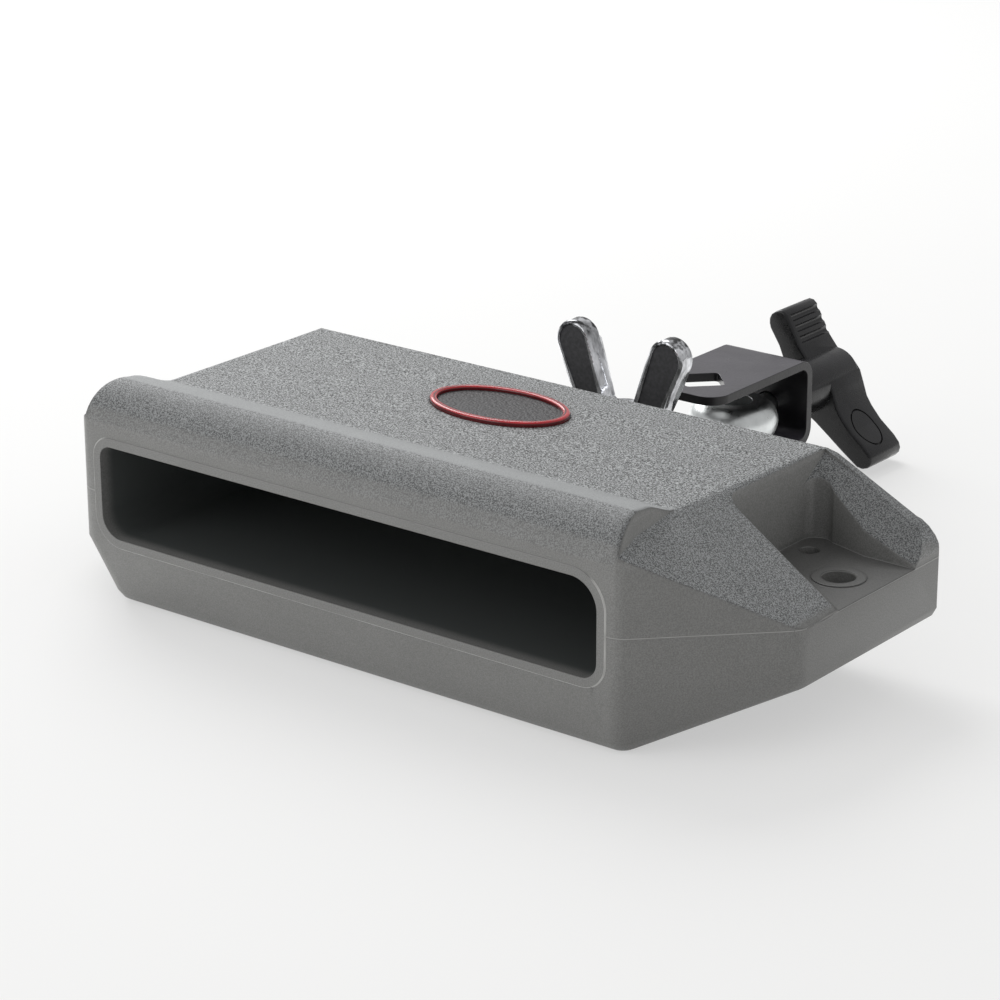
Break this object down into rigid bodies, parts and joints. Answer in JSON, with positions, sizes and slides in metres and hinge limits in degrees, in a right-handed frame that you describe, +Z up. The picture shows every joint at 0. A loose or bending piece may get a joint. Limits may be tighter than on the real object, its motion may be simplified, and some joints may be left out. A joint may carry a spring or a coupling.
{
  "type": "woodblock",
  "caption": "Moulded plastic woodblock with a wide front sound slot, bolt-through side ears and a rear bracket whose eye bolt and knob clamp an upright rod.",
  "frame": {"origin": "middle of the flat base, on the surface that the block stands on", "axes": "+X along the sound slot to the player's right, +Y from the slot to the bracket at the back, +Z up"},
  "size_m": [0.2834, 0.2785, 0.0791],
  "materials": {
    "block": "smooth front and sides, fine speckled grain on top and skirt",
    "badge": "raised red ring around a dark bare oval",
    "bracket": "black powder coat, satin",
    "bolt": "zinc plated",
    "washer": "bright zinc",
    "spring_washer": "grey spring steel",
    "wing_nut": "polished chrome, cast",
    "eye_bolt": "bright zinc",
    "knob": "black, satin",
    "insert": "plain"
  },
  "bodies": {
    "block": {"block_body": "block", "badge": "badge", "bracket": "bracket", "locating_pin": "bolt", "bracket_bolt": "bolt", "knob_washer": "washer"},
    "washers": {"flat_washer": "washer", "split_washer": "spring_washer"},
    "wing": {"wing_nut": "wing_nut"},
    "eye": {"eye_bolt": "eye_bolt"},
    "knob": {"knob_body": "knob", "knob_insert": "insert"}
  },
  "joints": [
    {"name": "washers_slide", "type": "slide", "parent": "block", "child": "washers", "axis": [0, 0, 1], "range_m": [0, 0.0041]},
    {"name": "wing_turn", "type": "hinge", "parent": "washers", "child": "wing", "pos_m": [0, 0.084, 0.0412], "axis": [0, 0, 1], "range_deg": [0, 1152]},
    {"name": "eye_slide", "type": "slide", "parent": "block", "child": "eye", "axis": [0, 1, 0], "range_m": [-0.0198, 0.0026]},
    {"name": "knob_turn", "type": "hinge", "parent": "block", "child": "knob", "pos_m": [0, 0.1746, 0.0284], "axis": [0, 1, 0], "range_deg": [-720, 5700]}
  ],
  "couplings": [
    {"joint": "washers_slide", "follows": "wing_turn", "m_per_rad": 0.00019894},
    {"joint": "eye_slide", "follows": "knob_turn", "m_per_rad": -0.00019894}
  ]
}
